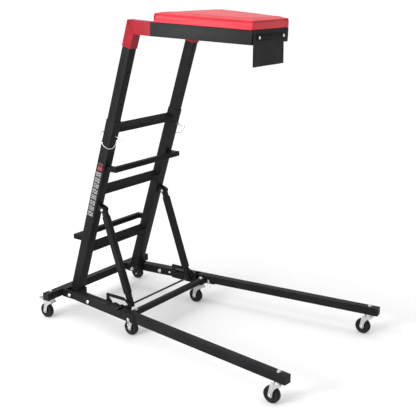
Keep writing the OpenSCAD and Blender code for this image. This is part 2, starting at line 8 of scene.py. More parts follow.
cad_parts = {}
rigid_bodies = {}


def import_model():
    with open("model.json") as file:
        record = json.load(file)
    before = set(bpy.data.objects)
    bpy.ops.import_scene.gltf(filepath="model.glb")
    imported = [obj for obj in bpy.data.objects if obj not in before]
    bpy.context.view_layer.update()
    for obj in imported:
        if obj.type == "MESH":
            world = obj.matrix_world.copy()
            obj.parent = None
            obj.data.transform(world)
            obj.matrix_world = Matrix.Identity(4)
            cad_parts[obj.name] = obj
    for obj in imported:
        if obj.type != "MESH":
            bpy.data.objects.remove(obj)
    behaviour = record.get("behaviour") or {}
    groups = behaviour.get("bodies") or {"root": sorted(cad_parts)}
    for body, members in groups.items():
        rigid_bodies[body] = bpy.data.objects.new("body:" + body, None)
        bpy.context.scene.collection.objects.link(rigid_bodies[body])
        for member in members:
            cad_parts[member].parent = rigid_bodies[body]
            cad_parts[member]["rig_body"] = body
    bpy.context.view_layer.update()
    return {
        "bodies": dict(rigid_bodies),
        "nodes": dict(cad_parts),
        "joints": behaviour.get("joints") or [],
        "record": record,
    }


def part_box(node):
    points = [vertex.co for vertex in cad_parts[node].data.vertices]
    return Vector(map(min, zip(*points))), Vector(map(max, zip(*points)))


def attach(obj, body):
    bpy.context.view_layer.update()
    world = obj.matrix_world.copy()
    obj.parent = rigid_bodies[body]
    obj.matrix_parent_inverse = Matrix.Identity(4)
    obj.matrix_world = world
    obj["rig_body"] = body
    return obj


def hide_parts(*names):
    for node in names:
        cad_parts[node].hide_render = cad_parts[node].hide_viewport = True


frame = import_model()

# Rolling leaning creeper: black powder-coated ladder and base, red elbows, red vinyl chest pad.
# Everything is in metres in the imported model's frame: +X forward, +Y left, +Z up.

NODES = frame["nodes"]
SIDES = ("left", "right")
SIDE_SIGN = {"left": 1, "right": -1}
PLACES = ("rear", "mid", "front")
MM = 0.001

# ---- Camera, floor and light ----

CAMERA_AT = Vector((2.2313, -2.9948, 1.6728))
CAMERA_TURN = math.radians(36.09)
CAMERA_DOWN = math.radians(15.75)
SENSOR = 36.0
LENS = 70.17


FLOOR_HALF = 60.0
# Radii over which the floor's glow rises: nearer the object the dimmer floor is a painted shadow pool.
PAINTED_SHADOW_NEAR, PAINTED_SHADOW_FAR = 1.0, 5.0


def add_camera():
    data = bpy.data.cameras.new("camera")
    data.lens = LENS
    data.sensor_width = SENSOR
    data.clip_end = 200
    camera = bpy.data.objects.new("camera", data)
    camera.location = CAMERA_AT
    camera.rotation_euler = (math.pi / 2 - CAMERA_DOWN, 0, CAMERA_TURN)
    bpy.context.scene.collection.objects.link(camera)
    bpy.context.scene.camera = camera


def add_area_light(name, place, target, size, power, tint=(1, 1, 1)):
    data = bpy.data.lights.new(name, "AREA")
    data.shape = "RECTANGLE"
    data.size, data.size_y = size
    data.energy = power
    data.color = tint
    light = bpy.data.objects.new(name, data)
    light.location = place
    aim = Vector(target) - Vector(place)
    light.rotation_euler = aim.to_track_quat("-Z", "Y").to_euler()
    bpy.context.scene.collection.objects.link(light)


def add_studio():
    """White world, three soft lights and a pale floor that glows, least near the object: a painted
    shadow pool round it.
    """
    scene = bpy.context.scene
    scene.view_settings.view_transform = "Standard"
    world = bpy.data.worlds.new("studio")
    world.use_nodes = True
    background = world.node_tree.nodes["Background"]
    set_inputs(background, {"Color": (1, 1, 1, 1), "Strength": 1.0})
    scene.world = world
    add_area_light("key", (-1.6, -2.6, 3.6), (0, 0, 0.7), (2.4, 2.4), 66)
    add_area_light("side", (-0.55, -3.3, 1.3), (0.1, 0, 1.2), (1.2, 0.9), 120)
    add_area_light("top", (-0.2, 0.4, 4.2), (0, 0, 0.5), (3.0, 3.0), 62)
    floor_mesh = bpy.data.meshes.new("floor")
    corners = [(x * FLOOR_HALF, y * FLOOR_HALF, 0) for x, y in rectangle((-1, -1), (1, 1))]
    floor_mesh.from_pydata(corners, [], [(0, 1, 2, 3)])
    floor = bpy.data.objects.new("floor", floor_mesh)
    scene.collection.objects.link(floor)
    paint, nodes, links, shader = new_material("studio_floor")
    set_inputs(shader, {
        "Base Color": (0.60, 0.60, 0.605, 1), "Roughness": 0.9, "Specular IOR Level": 0.0,
        "Emission Color": (1, 1, 1, 1),
    })
    place = nodes.new("ShaderNodeTexCoord")
    reach = nodes.new("ShaderNodeVectorMath")
    reach.operation = "LENGTH"
    links.new(place.outputs["Object"], reach.inputs[0])
    # Dimmer glow near the object: a painted shadow pool on the floor.
    glow_with_painted_shadow = spread(nodes, links, reach.outputs["Value"], 0.10, 0.42, start=PAINTED_SHADOW_NEAR, end=PAINTED_SHADOW_FAR)
    links.new(glow_with_painted_shadow, shader.inputs["Emission Strength"])
    floor_mesh.materials.append(paint)


# ---- Materials ----


DULL_GLOSS = 0.15
VINYL_GLOSS = 0.22


def new_material(name):
    """A material with a Principled shader: (material, nodes, links, shader)."""
    paint = bpy.data.materials.new(name)
    paint.use_nodes = True
    tree = paint.node_tree
    return paint, tree.nodes, tree.links, tree.nodes["Principled BSDF"]


def set_inputs(node, values):
    for name, value in values.items():
        node.inputs[name].default_value = value


def coordinates(nodes, links, scale=(1, 1, 1), turn=(0, 0, 0)):
    place = nodes.new("ShaderNodeTexCoord")
    mapping = nodes.new("ShaderNodeMapping")
    set_inputs(mapping, {"Scale": scale, "Rotation": turn})
    links.new(place.outputs["Object"], mapping.inputs["Vector"])
    return mapping.outputs["Vector"]


def noise_field(nodes, links, vector, scale, detail=3.0, rough=0.55, distort=0.0):
    field = nodes.new("ShaderNodeTexNoise")
    set_inputs(field, {
        "Scale": scale, "Detail": detail, "Roughness": rough, "Distortion": distort,
    })
    links.new(vector, field.inputs["Vector"])
    return field.outputs["Fac"]


def ramp(nodes, links, value, stops):
    """A colour ramp through (position, (r, g, b)) stops."""
    node = nodes.new("ShaderNodeValToRGB")
    elements = node.color_ramp.elements
    while len(elements) < len(stops):
        elements.new(0.5)
    for element, (position, colour) in zip(elements, stops):
        element.position = position
        element.color = (*colour, 1)
    links.new(value, node.inputs["Fac"])
    return node.outputs["Color"]


def spread(nodes, links, value, low, high, start=0.3, end=0.7):
    """The value mapped from start..end onto low..high."""
    node = nodes.new("ShaderNodeMapRange")
    set_inputs(node, {"From Min": start, "From Max": end, "To Min": low, "To Max": high})
    links.new(value, node.inputs["Value"])
    return node.outputs["Result"]


def add_bump(nodes, links, shader, height, strength, distance, under=None):
    bump = nodes.new("ShaderNodeBump")
    set_inputs(bump, {"Strength": strength, "Distance": distance})
    links.new(height, bump.inputs["Height"])
    if under is not None:
        links.new(under, bump.inputs["Normal"])
    links.new(bump.outputs["Normal"], shader.inputs["Normal"])
    return bump.outputs["Normal"]


def surface(nodes, links, shader, cloud, stops, field, low, high):
    """Colour from one noise field and roughness from another."""
    links.new(ramp(nodes, links, cloud, stops), shader.inputs["Base Color"])
    links.new(spread(nodes, links, field, low, high), shader.inputs["Roughness"])


def powder_coat(name, dark, light, rough, gloss=0.075, edge_wear_and_highlight=0.0):
    """Powder coat: orange peel, faint scuffs and cloudy gloss; a nonzero edge setting lightens it in
    grey patches, scuffed wear together with a painted edge highlight.
    """
    paint, nodes, links, shader = new_material(name)
    vector = coordinates(nodes, links)
    cloud = noise_field(nodes, links, vector, 9, detail=5)
    colour = ramp(nodes, links, cloud, [(0.35, dark), (0.7, light)])
    if edge_wear_and_highlight:
        # Grey patches: scuffed wear together with a painted highlight on the rounded edges.
        rub_and_highlight = noise_field(nodes, links, vector, 34, detail=7, rough=0.7)
        patch = spread(nodes, links, rub_and_highlight, 0.0, edge_wear_and_highlight, start=0.5, end=0.7)
        mix = nodes.new("ShaderNodeMixRGB")
        mix.inputs["Color2"].default_value = (0.16, 0.16, 0.165, 1)
        links.new(patch, mix.inputs["Fac"])
        links.new(colour, mix.inputs["Color1"])
        colour = mix.outputs["Color"]
    links.new(colour, shader.inputs["Base Color"])
    scuff_vector = coordinates(nodes, links, scale=(1, 1, 14), turn=(0.3, 0.5, 0.2))
    scuff = noise_field(nodes, links, scuff_vector, 26, detail=6, rough=0.7)
    links.new(spread(nodes, links, scuff, rough - 0.05, rough + 0.09), shader.inputs["Roughness"])
    shader.inputs["Specular IOR Level"].default_value = gloss
    peel = noise_field(nodes, links, vector, 620, detail=2, rough=0.4)
    soft = add_bump(nodes, links, shader, peel, 0.16, 0.0006)
    add_bump(nodes, links, shader, cloud, 0.05, 0.002, under=soft)
    return paint


def plated_steel(name, dark, light, rough, spangle=180):
    """Bright zinc plate: metal with a fine grain, soft patches and rolled lines."""
    paint, nodes, links, shader = new_material(name)
    vector = coordinates(nodes, links)
    patch = noise_field(nodes, links, vector, spangle, detail=4, distort=0.6)
    set_inputs(shader, {"Metallic": 1.0, "Anisotropic": 0.3})
    streak_vector = coordinates(nodes, links, scale=(1, 1, 22))
    streak = noise_field(nodes, links, streak_vector, 210, detail=3)
    stops = [(0.3, dark), (0.72, light)]
    surface(nodes, links, shader, patch, stops, streak, rough - 0.07, rough + 0.1)
    add_bump(nodes, links, shader, streak, 0.08, 0.0004)
    return paint


def moulded(name, dark, light, rough, grain=1400, depth=0.22):
    """Moulded plastic or rubber with a fine spark-eroded texture."""
    paint, nodes, links, shader = new_material(name)
    vector = coordinates(nodes, links)
    cloud = noise_field(nodes, links, vector, 40, detail=4)
    stops = [(0.35, dark), (0.7, light)]
    surface(nodes, links, shader, cloud, stops, cloud, rough - 0.06, rough + 0.08)
    shader.inputs["Specular IOR Level"].default_value = DULL_GLOSS
    speck = noise_field(nodes, links, vector, grain, detail=2)
    add_bump(nodes, links, shader, speck, depth, 0.0004)
    return paint


def grained_vinyl(name, dark, light, rough, cell=520, depth=0.35, sheen=0.04):
    """Upholstery vinyl: leather-like cells, creases between them and a soft sheen."""
    paint, nodes, links, shader = new_material(name)
    vector = coordinates(nodes, links)
    cells = nodes.new("ShaderNodeTexVoronoi")
    cells.feature = "DISTANCE_TO_EDGE"
    cells.inputs["Scale"].default_value = cell
    warp = noise_field(nodes, links, vector, 90, detail=3)
    mix = nodes.new("ShaderNodeMixRGB")
    mix.inputs["Fac"].default_value = 0.02
    links.new(vector, mix.inputs["Color1"])
    links.new(warp, mix.inputs["Color2"])
    links.new(mix.outputs["Color"], cells.inputs["Vector"])
    cloud = noise_field(nodes, links, vector, 6, detail=5)
    stops = [(0.3, dark), (0.72, light)]
    surface(nodes, links, shader, cloud, stops, warp, rough - 0.05, rough + 0.07)
    set_inputs(shader, {
        "Sheen Weight": sheen, "Sheen Roughness": 0.5, "Specular IOR Level": VINYL_GLOSS,
    })
    grain = spread(nodes, links, cells.outputs["Distance"], 0.0, 1.0, start=0.0, end=0.12)
    soft = add_bump(nodes, links, shader, grain, depth, 0.0003)
    add_bump(nodes, links, shader, cloud, 0.08, 0.004, under=soft)
    return paint


def woven_cloth(name, dark, light, pitch=0.0011):
    """Coated cloth: a plain weave that shows through its matt coating."""
    paint, nodes, links, shader = new_material(name)
    vector = coordinates(nodes, links)
    turns = 1 / pitch
    waves = []
    for axis in ("Y", "Z"):
        wave = nodes.new("ShaderNodeTexWave")
        wave.bands_direction = axis
        set_inputs(wave, {"Scale": turns / (2 * math.pi) * 2, "Distortion": 0.4})
        links.new(vector, wave.inputs["Vector"])
        waves.append(wave.outputs["Fac"])
    product = nodes.new("ShaderNodeMath")
    product.operation = "MULTIPLY"
    links.new(waves[0], product.inputs[0])
    links.new(waves[1], product.inputs[1])
    cloud = noise_field(nodes, links, vector, 12, detail=5)
    stops = [(0.3, dark), (0.75, light)]
    surface(nodes, links, shader, cloud, stops, cloud, 0.55, 0.75)
    set_inputs(shader, {"Specular IOR Level": DULL_GLOSS, "Sheen Weight": 0.03})
    add_bump(nodes, links, shader, product.outputs["Value"], 0.35, 0.0003)
    return paint


def plywood(name):
    """Raw plywood: long grain bands over a warm base."""
    paint, nodes, links, shader = new_material(name)
    vector = coordinates(nodes, links, scale=(2.2, 26, 26))
    grain = noise_field(nodes, links, vector, 6, detail=8, rough=0.65, distort=0.8)
    stops = [(0.3, (0.30, 0.18, 0.09)), (0.5, (0.52, 0.35, 0.2)), (0.75, (0.66, 0.48, 0.3))]
    surface(nodes, links, shader, grain, stops, grain, 0.6, 0.8)
    add_bump(nodes, links, shader, grain, 0.2, 0.0006)
    return paint


def printed(name, colour, rough=0.45):
    """A printed film: even ink with faint mottling."""
    paint, nodes, links, shader = new_material(name)
    vector = coordinates(nodes, links)
    cloud = noise_field(nodes, links, vector, 300, detail=3)
    stops = [(0.3, tuple(c * 0.8 for c in colour)), (0.7, colour)]
    surface(nodes, links, shader, cloud, stops, cloud, rough - 0.05, rough + 0.05)
    return paint


BLACK = ((0.0060, 0.0062, 0.0068), (0.0098, 0.0101, 0.0109))
STEP_BLACK = ((0.0046, 0.0048, 0.0054), (0.0080, 0.0083, 0.0091))
RED = ((0.17, 0.005, 0.010), (0.22, 0.007, 0.014))

PAINT = {
    "frame": powder_coat("frame_black", *BLACK, 0.42),
    # The _edge coats go on the rounded edges: glossier, with lighter patches of scuffed wear and
    # painted highlight.
    "frame_edge": powder_coat("frame_black_edge", *BLACK, 0.34, 0.14, edge_wear_and_highlight=0.5),
    "step": powder_coat("step_black", *STEP_BLACK, 0.46, 0.05),
    "step_edge": powder_coat("step_black_edge", *STEP_BLACK, 0.38, 0.12, edge_wear_and_highlight=0.5),
    "red": powder_coat("elbow_red", *RED, 0.36, 0.14),
    "red_edge": powder_coat("elbow_red_edge", *RED, 0.3, 0.3, edge_wear_and_highlight=0.12),
    "zinc": plated_steel("caster_zinc", (0.42, 0.425, 0.43), (0.64, 0.645, 0.65), 0.34),
    "bolt": plated_steel("bolt_zinc", (0.50, 0.505, 0.51), (0.70, 0.705, 0.71), 0.26, spangle=420),
    "lever": plated_steel("lever_zinc", (0.30, 0.305, 0.31), (0.46, 0.465, 0.47), 0.42),
    "oxide": powder_coat("rod_black", (0.008, 0.008, 0.009), (0.016, 0.016, 0.017), 0.35, 0.4),
    "cap": moulded("cap_plastic", (0.005, 0.005, 0.0055), (0.009, 0.009, 0.0095), 0.5),
    "tyre": moulded("tyre_rubber", (0.004, 0.004, 0.0045), (0.008, 0.008, 0.0085), 0.5, 900),
    "hub": moulded("hub_plastic", (0.010, 0.010, 0.011), (0.018, 0.018, 0.019), 0.42),
    "tread": moulded("tread_black", (0.0025, 0.0025, 0.003), (0.005, 0.005, 0.0055), 0.7, 800, 0.35),
    "vinyl": grained_vinyl("pad_vinyl", (0.43, 0.010, 0.020), (0.50, 0.015, 0.028), 0.42),
    # Piping a darker red than the pad: painted shade along the seams.
    "seam_shade_piping": grained_vinyl("piping_vinyl_seam_shade", (0.30, 0.008, 0.016), (0.38, 0.012, 0.023), 0.40, 900),
    "ply": plywood("board_ply"),
    "apron": woven_cloth("apron_cloth", (0.0036, 0.0036, 0.0046), (0.0070, 0.0070, 0.0084)),
    "hem": woven_cloth("apron_hem", (0.0048, 0.0048, 0.0058), (0.0085, 0.0085, 0.0100)),
    "label_grey": printed("label_grey", (0.19, 0.185, 0.185)),
    "label_red": printed("label_red", (0.20, 0.018, 0.018)),
    "label_dark": printed("label_dark", (0.060, 0.008, 0.009)),
}


def paint_all(piece, paint):
    piece.data.materials.clear()
    piece.data.materials.append(PAINT[paint])


# ---- Mesh helpers ----


def body_of(node):
    return NODES[node]["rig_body"]


def finish_piece(name, bm, paint, body, stands_for=(), sharp=35):
    """Turns a bmesh into a piece that rides on a body, painted and shaded."""
    mesh = mesh_from(bm, name)
    piece = bpy.data.objects.new(name, mesh)
    bpy.context.scene.collection.objects.link(piece)
    paint_all(piece, paint)
    # The second slot holds the lighter edge coat: wear together with a painted highlight.
    if paint + "_edge" in PAINT:
        mesh.materials.append(PAINT[paint + "_edge"])
    mesh.shade_smooth()
    mesh.set_sharp_from_angle(angle=math.radians(sharp))
    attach(piece, body)
    if stands_for:
        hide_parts(*stands_for)
    return piece


def mesh_from(bm, name):
    bmesh.ops.recalc_face_normals(bm, faces=bm.faces)
    mesh = bpy.data.meshes.new(name)
    bm.to_mesh(mesh)
    bm.free()
    return mesh


def cad_bmesh(node):
    """The CAD node's mesh with its shared corners joined and its flat faces merged."""
    bm = bmesh.new()
    bm.from_mesh(NODES[node].data)
    bmesh.ops.remove_doubles(bm, verts=bm.verts, dist=2e-6)
    bmesh.ops.dissolve_degenerate(bm, edges=bm.edges, dist=2e-6)
    bmesh.ops.dissolve_limit(
        bm, angle_limit=math.radians(0.5), verts=bm.verts, edges=bm.edges, delimit=set()
    )
    return bm


def is_corner(edge, low=50, high=130):
    if len(edge.link_faces) != 2:
        return False
    return math.radians(low) < edge.calc_face_angle(0) < math.radians(high)


def round_edges(bm, chosen, radius, segments=3, paint_slot=0):
    if chosen:
        bmesh.ops.bevel(
            bm, geom=chosen, offset=radius, offset_type="OFFSET", segments=segments,
            profile=0.5, affect="EDGES", clamp_overlap=True, material=paint_slot,
        )


def rolled(node, paint, radius, shortest=0.04, inner=0.0012, keep_short=False):
    """A copy of a tube or plate with its long corners rounded as rolled or bent steel is."""
    bm = cad_bmesh(node)
    outer, inside = [], []
    for edge in bm.edges:
        if edge.calc_length() >= shortest and is_corner(edge):
            (outer if edge.is_convex else inside).append(edge)
    if inner:
        round_edges(bm, inside, inner, 2)
        outer = [edge for edge in outer if edge.is_valid]
    # Rounded corners take the edge coat: scuffed wear together with a painted highlight.
    round_edges(bm, outer, radius, 4, 1 if paint + "_edge" in PAINT else 0)
    if keep_short:
        rest = [e for e in bm.edges if is_corner(e) and e.is_convex]
        round_edges(bm, rest, keep_short, 2)
    return finish_piece(node + "_rolled", bm, paint, body_of(node), [node], sharp=32)


def softened(node, paint, radius, sharp=32, shank=None):
    """A copy of a small turned or cut piece with every sharp rim broken.

    A shank is (frame, radius, low, high): a round bar along the frame's Z joined to the piece.
    """
    bm = cad_bmesh(node)
    rims = [e for e in bm.edges if is_corner(e, 40, 140) and e.is_convex]
    round_edges(bm, rims, radius, 2)
    if shank:
        rod(bm, *shank, steps=32)
    return finish_piece(node + "_soft", bm, paint, body_of(node), [node], sharp=sharp)


def lathe(bm, profile, matrix, steps=48):
    """Turns (radius, height) points about the local Z axis; ends on the axis close the shape."""
    rings = []
    for radius, height in profile:
        if radius < 1e-7:
            rings.append([bm.verts.new(matrix @ Vector((0, 0, height)))])
            continue
        rings.append([
            bm.verts.new(matrix @ Vector((
                radius * math.cos(2 * math.pi * k / steps),
                radius * math.sin(2 * math.pi * k / steps), height,
            ))) for k in range(steps)
        ])
    for low, high in zip(rings, rings[1:]):
        for k in range(steps):
            after = (k + 1) % steps
            corners = [low[k % len(low)], low[after % len(low)],
                       high[after % len(high)], high[k % len(high)]]
            unique = list(dict.fromkeys(corners))
            if len(unique) > 2:
                bm.faces.new(unique)


def ring(bm, profile, matrix, steps):
    """Turns a closed (radius, height) profile that stays off the axis."""
    lathe(bm, profile + [profile[0]], matrix, steps)
    bmesh.ops.remove_doubles(bm, verts=bm.verts, dist=1e-6)


def rectangle(low, high):
    return [low, (high[0], low[1]), high, (low[0], high[1])]


def rod(bm, frame, radius, low, high, steps=24):
    """A plain round bar along the frame's Z axis."""
    lathe(bm, [(0.0, low), (radius, low), (radius, high), (0.0, high)], frame, steps)


def prism(bm, outline, low, high, matrix, bevel=0.0):
    """Extrudes a closed outline of (x, y) points from low to high along local Z."""
    bottom = [bm.verts.new(matrix @ Vector((x, y, low))) for x, y in outline]
    top = [bm.verts.new(matrix @ Vector((x, y, high))) for x, y in outline]
    faces = [bm.faces.new(bottom[::-1]), bm.faces.new(top)]
    count = len(outline)
    for k in range(count):
        after = (k + 1) % count
        faces.append(bm.faces.new([bottom[k], bottom[after], top[after], top[k]]))
    if bevel:
        rims = {edge for face in faces[:2] for edge in face.edges}
        bmesh.ops.bevel(
            bm, geom=list(rims), offset=bevel, offset_type="OFFSET", segments=2,
            profile=0.5, affect="EDGES", clamp_overlap=True,
        )


def sweep(bm, path, radius, steps=10, closed=False, swell=None):
    """A round tube along a list of points; swell(k) scales the radius at point k."""
    points = [Vector(p) for p in path]
    count = len(points)
    tangents = []
    for k in range(count):
        before = points[k - 1] if k or closed else points[k]
        after = points[(k + 1) % count] if k < count - 1 or closed else points[k]
        tangents.append((after - before).normalized())
    side = tangents[0].orthogonal().normalized()
    rings = []
    for k in range(count):
        side = (side - tangents[k] * side.dot(tangents[k])).normalized()
        other = tangents[k].cross(side)
        size = radius * (swell(k) if swell else 1)
        rings.append([
            bm.verts.new(points[k] + size * (
                math.cos(2 * math.pi * j / steps) * side
                + math.sin(2 * math.pi * j / steps) * other
            )) for j in range(steps)
        ])
    pairs = list(zip(rings, rings[1:]))
    if closed:
        twist = min(range(steps), key=lambda j: (rings[-1][0].co - rings[0][j].co).length)
        pairs.append((rings[-1], rings[0][twist:] + rings[0][:twist]))
    for low, high in pairs:
        for j in range(steps):
            after = (j + 1) % steps
            bm.faces.new([low[j], low[after], high[after], high[j]])
    if not closed:
        bm.faces.new(rings[0][::-1])
        bm.faces.new(rings[-1])


# ---- Steel frame ----

# Joints of the frame: the ladder's pivot and lean, the deck's corner and tilt, the rails' splay.
PIVOT = Vector((-0.620, 0, 0.120))
LADDER = Matrix.Translation(PIVOT) @ Matrix.Rotation(math.radians(17.65), 4, "Y")
DECK = Matrix.Translation((-0.204, 0, 1.503)) @ Matrix.Rotation(math.radians(3.2), 4, "Y")
SPLAY = math.radians(6.85)
RAIL_Y = 0.3377
UPRIGHT_Y = 0.229
UPRIGHT_HALF = 0.025
RUNG_MIDS = (0.264, 0.594, 0.924)
RUNG_HALF_H = 0.0125
DECK_ARM_END = 0.1302
DECK_END = 0.5839
DECK_REAR_Y = 0.253
DECK_FRONT_Y = 0.146

# Along the rails: the front crossbar's two faces, the notch plate's foot, and (x, z) of each bolt.
CROSSBAR_X = (-0.2045, -0.1795)
PLATE_FOOT_X = (-0.374, -0.232)
RAIL_BOLT = (-0.474, 0.122)
FOLD_RIVET = (-0.229, 0.127)
TAB_BOLT = (-0.408, 0.126)
LEG_PIN = (-0.168, 0.119)
HEIGHT_PIN_T = 0.898
PIN_R = 0.0044
RAIL_HALF = 0.019
DECK_BOLT = (0.3842, 0.097, 1.439)


def rail_frame(side):
    """The frame of a base rail: X along it, Y outwards (towards the left on either side)."""
    sign = SIDE_SIGN[side]
    return Matrix.Translation((0, sign * RAIL_Y, 0)) @ Matrix.Rotation(sign * SPLAY, 4, "Z")


def along(x):
    return x / math.cos(SPLAY)


def deck_y(s):
    share = (s - DECK_ARM_END) / (DECK_END - DECK_ARM_END)
    return DECK_REAR_Y + (DECK_FRONT_Y - DECK_REAR_Y) * share


def resample(points, pitch, closed=False):
    """Evenly spaced points on a polyline."""
    points = [Vector(p) for p in points]
    ends = points + [points[0]] if closed else points
    lengths = [(b - a).length for a, b in zip(ends, ends[1:])]
    total = sum(lengths)
    count = max(3, round(total / pitch))
    out = []
    for k in range(count if closed else count + 1):
        left = total * k / count
        for (a, b), length in zip(zip(ends, ends[1:]), lengths):
            if left <= length + 1e-12:
                out.append(a.lerp(b, min(1, left / length)))
                break
            left -= length
    return out


def weld_bead(name, runs, radius, paint, body, closed=False):
    """Fillet welds: rippled beads along each run of points."""
    bm = bmesh.new()
    for index, run in enumerate(runs):
        path = resample(run, 0.0016, closed)
        sweep(
            bm, path, radius, 8, closed,
            lambda k, index=index: 0.9 + 0.13 * math.sin(k * 1.9)
            + 0.09 * noise.noise(Vector((k * 0.21, index * 3.7, 1.3))),
        )
    return finish_piece(name, bm, paint, body, sharp=80)


def box_loop(frame, low, high, axis):
    """The four corners of a box's middle section across the axis, as a closed run."""
    a, b = [k for k in range(3) if k != axis]
    out = []
    for u, v in ((0, 0), (1, 0), (1, 1), (0, 1)):
        point = [0, 0, 0]
        point[axis] = low[axis]
        point[a] = (low, high)[u][a]
        point[b] = (low, high)[v][b]
        out.append(frame @ Vector(point))
    return out


def make_frame():
    for side in SIDES:
        for node, radius in (
            ("upright", 3.4), ("inner_tube", 3.0), ("strut", 2.6), ("front_leg", 3.0),
            ("base_rail", 3.0), ("deck_rail", 3.6),
        ):
            rolled(f"{node}_{side}", "frame", radius * MM)
        rolled(f"rear_bracket_{side}", "frame", 0.9 * MM, shortest=0.012)
        rolled(f"notch_plate_{side}", "frame", 0.7 * MM, shortest=0.008)
        rolled(f"elbow_{side}", "red", 3.0 * MM)
        rolled(f"leg_cap_{side}", "cap", 1.6 * MM,
               shortest=0.02, keep_short=0.8 * MM)
    rolled("rear_crossbar", "frame", 3.0 * MM)
    rolled("front_crossbar", "frame", 2.4 * MM, shortest=0.02)
    rolled("deck_front_bar", "frame", 3.2 * MM, shortest=0.05)
    rolled("strut_brackets", "frame", 0.8 * MM, shortest=0.01)
    rolled("rungs", "step", 2.4 * MM)
    rolled("front_step", "step", 2.4 * MM, shortest=0.02)
    rolled("rear_step", "step", 2.4 * MM, shortest=0.02)
    rolled("clamp_strip", "step", 0.7 * MM, shortest=0.01)
    rolled("crossbar_caps", "cap", 1.6 * MM, shortest=0.02)


def make_welds():
    inner = UPRIGHT_Y - UPRIGHT_HALF
    loops = []
    for mid in RUNG_MIDS:
        for sign in (1, -1):
            low = (-0.0235, sign * (inner - 0.0004), mid - RUNG_HALF_H)
            high = (0.0235, sign * (inner - 0.0004), mid + RUNG_HALF_H)
            loops.append(box_loop(LADDER, low, high, 1))
    weld_bead("rung_welds", loops, 0.0021, "step", "ladder", closed=True)
    for side in SIDES:
        sign = SIDE_SIGN[side]
        outer, inside = elbow_corners(side)
        runs = []
        for y in (UPRIGHT_Y - UPRIGHT_HALF - 0.0001, UPRIGHT_Y + UPRIGHT_HALF + 0.0001):
            middle = outer.lerp(inside, 0.5)
            runs.append([
                Vector((p.x, sign * y, p.z))
                for p in (outer.lerp(middle, 0.06), inside.lerp(middle, 0.04))
            ])
        reach = UPRIGHT_HALF - 0.003
        for corner in (outer.lerp(inside, 0.012), inside.lerp(outer, -0.004)):
            runs.append([
                Vector((corner.x, sign * (UPRIGHT_Y + reach), corner.z)),
                Vector((corner.x, sign * (UPRIGHT_Y - reach), corner.z)),
            ])
        weld_bead(f"elbow_weld_{side}", runs, 0.0016, "red", body_of(f"elbow_{side}"))
        frame = rail_frame(side)
        in_y = -sign * 0.0221
        cross = []
        for x in CROSSBAR_X:
            cross.append([
                frame @ Vector((along(x), in_y, 0.1125)), frame @ Vector((along(x), in_y, 0.1365)),
            ])
        cross.append([
            frame @ Vector((along(x), in_y, 0.1372)) for x in CROSSBAR_X
        ])
        cross.append([frame @ Vector((along(x), in_y, 0.1075)) for x in PLATE_FOOT_X])
        weld_bead(f"cross_weld_{side}", cross, 0.0018, "frame", "base")
        bar = []
        s = DECK_END - 0.030
        for a, b in ((0.0006, 0.0006), (0.0594, 0.0594)):
            bar.append([
                DECK @ Vector((s + 0.002, sign * (deck_y(s) - 0.030), -a)),
                DECK @ Vector((DECK_END - 0.003, sign * (DECK_FRONT_Y - 0.030), -b)),
            ])
        bar.append([
            DECK @ Vector((s, sign * (deck_y(s) - 0.0305), -0.003)),
            DECK @ Vector((s, sign * (deck_y(s) - 0.0305), -0.057)),
        ])
        weld_bead(f"bar_weld_{side}", bar, 0.0016, "frame", "upper_frame")


def elbow_corners(side):
    """The elbow's outer and inner mitre corners, found on its own mesh."""
    points = [v.co for v in NODES[f"elbow_{side}"].data.vertices]
    high = max(p.z for p in points)
    outer = min((p for p in points if p.z > high - 0.004), key=lambda p: p.x)
    local = [LADDER.inverted() @ p for p in points]
    front = max(
        (p for p, q in zip(points, local) if abs(q.x - UPRIGHT_HALF) < 0.0006),
        key=lambda p: p.z,
    )
    return outer.copy(), front.copy()


def make_treads():
    """Ribbed non-slip tread pressed along the top of each rung."""
    bm = bmesh.new()
    half = 0.190
    for mid in RUNG_MIDS:
        top = mid + RUNG_HALF_H
        outline = [(-0.0165, 0.0)]
        ribs = 7
        pitch = 0.033 / ribs
        for k in range(ribs):
            start = -0.0165 + k * pitch
            outline += [
                (start + 0.10 * pitch, 0.0011), (start + 0.30 * pitch, 0.0017),
                (start + 0.55 * pitch, 0.0017), (start + 0.75 * pitch, 0.0011),
                (start + 0.88 * pitch, 0.0007),
            ]
        outline += [(0.0165, 0.0)]
        outline += [(0.0165, -0.0004), (-0.0165, -0.0004)]
        turn = Matrix.Rotation(math.radians(90), 4, "X")
        prism(bm, outline, -half, half, LADDER @ Matrix.Translation((0, 0, top)) @ turn, 0.0003)
    finish_piece("rung_treads", bm, "tread", "ladder", sharp=30)


